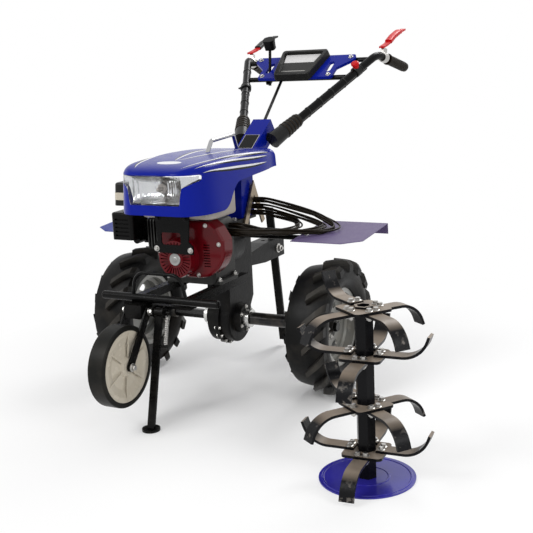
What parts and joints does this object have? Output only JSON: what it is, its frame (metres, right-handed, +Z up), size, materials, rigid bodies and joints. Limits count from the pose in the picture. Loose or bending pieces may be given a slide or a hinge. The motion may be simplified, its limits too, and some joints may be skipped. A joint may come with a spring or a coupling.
{
  "type": "walk-behind power tiller",
  "caption": "Walk-behind power tiller with petrol engine, lugged wheels, front transport wheel, parking stand and tilting handlebar, with a tine reel stood on its end disc beside it.",
  "frame": {"origin": "middle of the footprint on the floor", "axes": "+X to the machine's left, -Y its front, +Z up"},
  "size_m": [1.5194, 1.8936, 1.2655],
  "materials": {
    "black_paint": "satin black paint",
    "case_paint": "black painted casting",
    "bright_steel": "turned bright steel",
    "chrome": "polished chrome",
    "rim_grey": "silver-grey paint",
    "tyre": "black rubber",
    "engine_alloy": "cast alloy",
    "red_paint": "gloss red paint",
    "black_plastic": "moulded charcoal plastic",
    "tank": "grey moulded tank",
    "hood_blue": "gloss cobalt blue moulding",
    "lens": "clear lamp glass",
    "reflector": "mirrored reflector",
    "blue_paint": "blue paint",
    "front_white": "cream moulded plastic",
    "spring": "coiled wire",
    "zinc": "zinc plated strap",
    "rubber": "black rubber"
  },
  "bodies": {
    "chassis": {"gearbox_case": "case_paint", "engine_block": "engine_alloy", "blower_housing": "red_paint", "recoil_cover": "red_paint", "support_plate": "black_paint", "muffler": "black_paint", "air_cleaner": "black_plastic", "fuel_tank": "tank", "hood": "hood_blue", "headlamp_lens": "lens", "headlamp_reflector": "reflector", "front_frame": "black_paint", "front_bumper": "black_paint", "handle_post": "blue_paint", "post_struts": "zinc", "lift_handle": "chrome", "fenders": "blue_paint", "fender_supports": "black_paint", "cable_loom": "rubber", "hitch_box": "black_paint", "reel_disc": "blue_paint", "tine_reel": "black_paint"},
    "left_wheel": {"axle_left": "bright_steel", "rim_left": "rim_grey", "tyre_left": "tyre"},
    "right_wheel": {"axle_right": "bright_steel", "rim_right": "rim_grey", "tyre_right": "tyre"},
    "front_fork": {"front_fork": "black_paint"},
    "front_wheel": {"front_tyre": "tyre", "front_disc": "front_white"},
    "stand": {"stand_leg": "black_paint", "stand_spring": "spring"},
    "handlebar": {"handle_clamps": "black_plastic", "handle_tube_left": "black_paint", "handle_tube_right": "black_paint", "cross_bars": "black_paint", "panel": "hood_blue", "console": "black_plastic", "grips": "rubber", "lever_clamps": "bright_steel", "clutch_levers": "red_paint", "gear_lever": "black_paint", "grip_cables": "rubber"},
    "drag_bar": {"drag_bar": "black_paint"}
  },
  "joints": [
    {"name": "left_wheel_spin", "type": "hinge", "parent": "chassis", "child": "left_wheel", "pos_m": [0.18732, -0.14344, 0.24], "axis": [1, 0, 0], "continuous": true},
    {"name": "right_wheel_spin", "type": "hinge", "parent": "chassis", "child": "right_wheel", "pos_m": [-0.61069, -0.14344, 0.24], "axis": [1, 0, 0], "continuous": true},
    {"name": "fork_swing", "type": "hinge", "parent": "chassis", "child": "front_fork", "pos_m": [-0.28569, -0.61544, 0.38], "axis": [1, 0, 0], "range_deg": [-60, 35]},
    {"name": "front_wheel_spin", "type": "hinge", "parent": "front_fork", "child": "front_wheel", "pos_m": [-0.28569, -0.73144, 0.225], "axis": [1, 0, 0], "continuous": true},
    {"name": "stand_fold", "type": "hinge", "parent": "chassis", "child": "stand", "pos_m": [-0.21169, -0.59844, 0.376], "axis": [1, 0, 0], "range_deg": [0, 70]},
    {"name": "handlebar_tilt", "type": "hinge", "parent": "chassis", "child": "handlebar", "pos_m": [-0.21169, 0.15556, 0.874], "axis": [1, 0, 0], "range_deg": [-25, 15]},
    {"name": "drag_bar_slide", "type": "slide", "parent": "chassis", "child": "drag_bar", "axis": [0, -0.1382, 0.9904], "range_m": [0, 0.15]}
  ]
}
